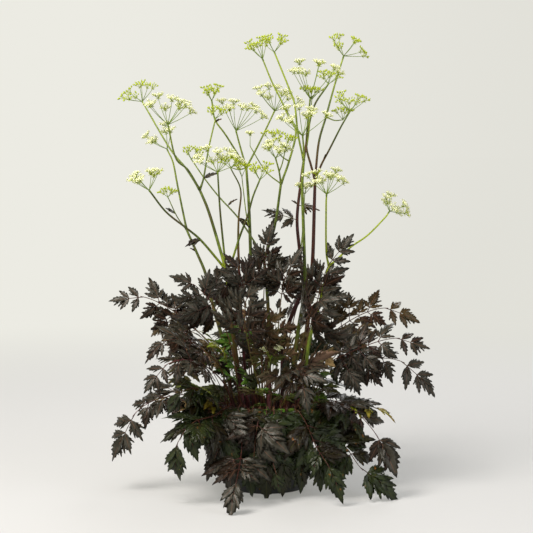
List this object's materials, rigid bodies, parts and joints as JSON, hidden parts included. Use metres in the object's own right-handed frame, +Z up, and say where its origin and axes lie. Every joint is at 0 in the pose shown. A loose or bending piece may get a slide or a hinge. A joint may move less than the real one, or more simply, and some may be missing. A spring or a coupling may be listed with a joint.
{
  "type": "potted cow parsley plant",
  "caption": "Dark-leaved cow parsley in a round nursery pot: ferny divided fronds low down, forked flower stems above with lacy pale umbels.",
  "frame": {"origin": "centre of the pot's flat underside", "axes": "+Z up; the pictured front of the plant faces -Y, with +X to its right"},
  "size_m": [0.5288, 0.4756, 0.7228],
  "materials": {
    "pot": "moulded dark nursery pot, satin",
    "soil": "damp crumbly potting compost",
    "stem": "ribbed green stem, brown to maroon low down",
    "leaf_dark": "near-black purple leaf with a soft grey sheen",
    "leaf_bronze": "coppery brown leaf",
    "leaf_green": "dark green leaf with a purple tint",
    "umbel": "creamy white florets and lime buds"
  },
  "bodies": {
    "root": {"pot": "pot", "soil": "soil", "stem_1": "stem", "stem_2": "stem", "stem_3": "stem", "stem_4": "stem", "stem_5": "stem", "stem_6": "stem", "stem_7": "stem", "stem_8": "stem", "stem_9": "stem", "umbel_1": "umbel", "umbel_2": "umbel", "umbel_3": "umbel", "umbel_4": "umbel", "umbel_5": "umbel", "umbel_6": "umbel", "umbel_7": "umbel", "umbel_8": "umbel", "umbel_9": "umbel", "umbel_10": "umbel", "umbel_11": "umbel", "umbel_12": "umbel", "umbel_13": "umbel", "umbel_14": "umbel", "umbel_15": "umbel", "frond_left_1": "leaf_dark", "frond_left_2": "leaf_dark", "frond_left_3": "leaf_dark", "frond_left_4": "leaf_dark", "frond_left_5": "leaf_bronze", "frond_left_6": "leaf_dark", "frond_left_7": "leaf_green", "frond_left_8": "leaf_green", "frond_front_1": "leaf_dark", "frond_front_2": "leaf_green", "frond_front_3": "leaf_green", "frond_front_4": "leaf_green", "frond_front_5": "leaf_dark", "frond_front_6": "leaf_green", "frond_front_7": "leaf_dark", "frond_right_1": "leaf_dark", "frond_right_2": "leaf_dark", "frond_right_3": "leaf_bronze", "frond_right_4": "leaf_dark", "frond_right_5": "leaf_green", "frond_centre_1": "leaf_dark", "frond_centre_2": "leaf_bronze", "frond_centre_3": "leaf_dark", "frond_centre_4": "leaf_dark", "frond_centre_5": "leaf_dark", "frond_centre_6": "leaf_dark", "frond_centre_7": "leaf_dark", "frond_centre_8": "leaf_dark", "frond_back_1": "leaf_dark", "frond_back_2": "leaf_dark", "frond_back_3": "leaf_green", "frond_back_4": "leaf_green", "frond_back_5": "leaf_dark", "frond_back_6": "leaf_green"}
  },
  "joints": []
}
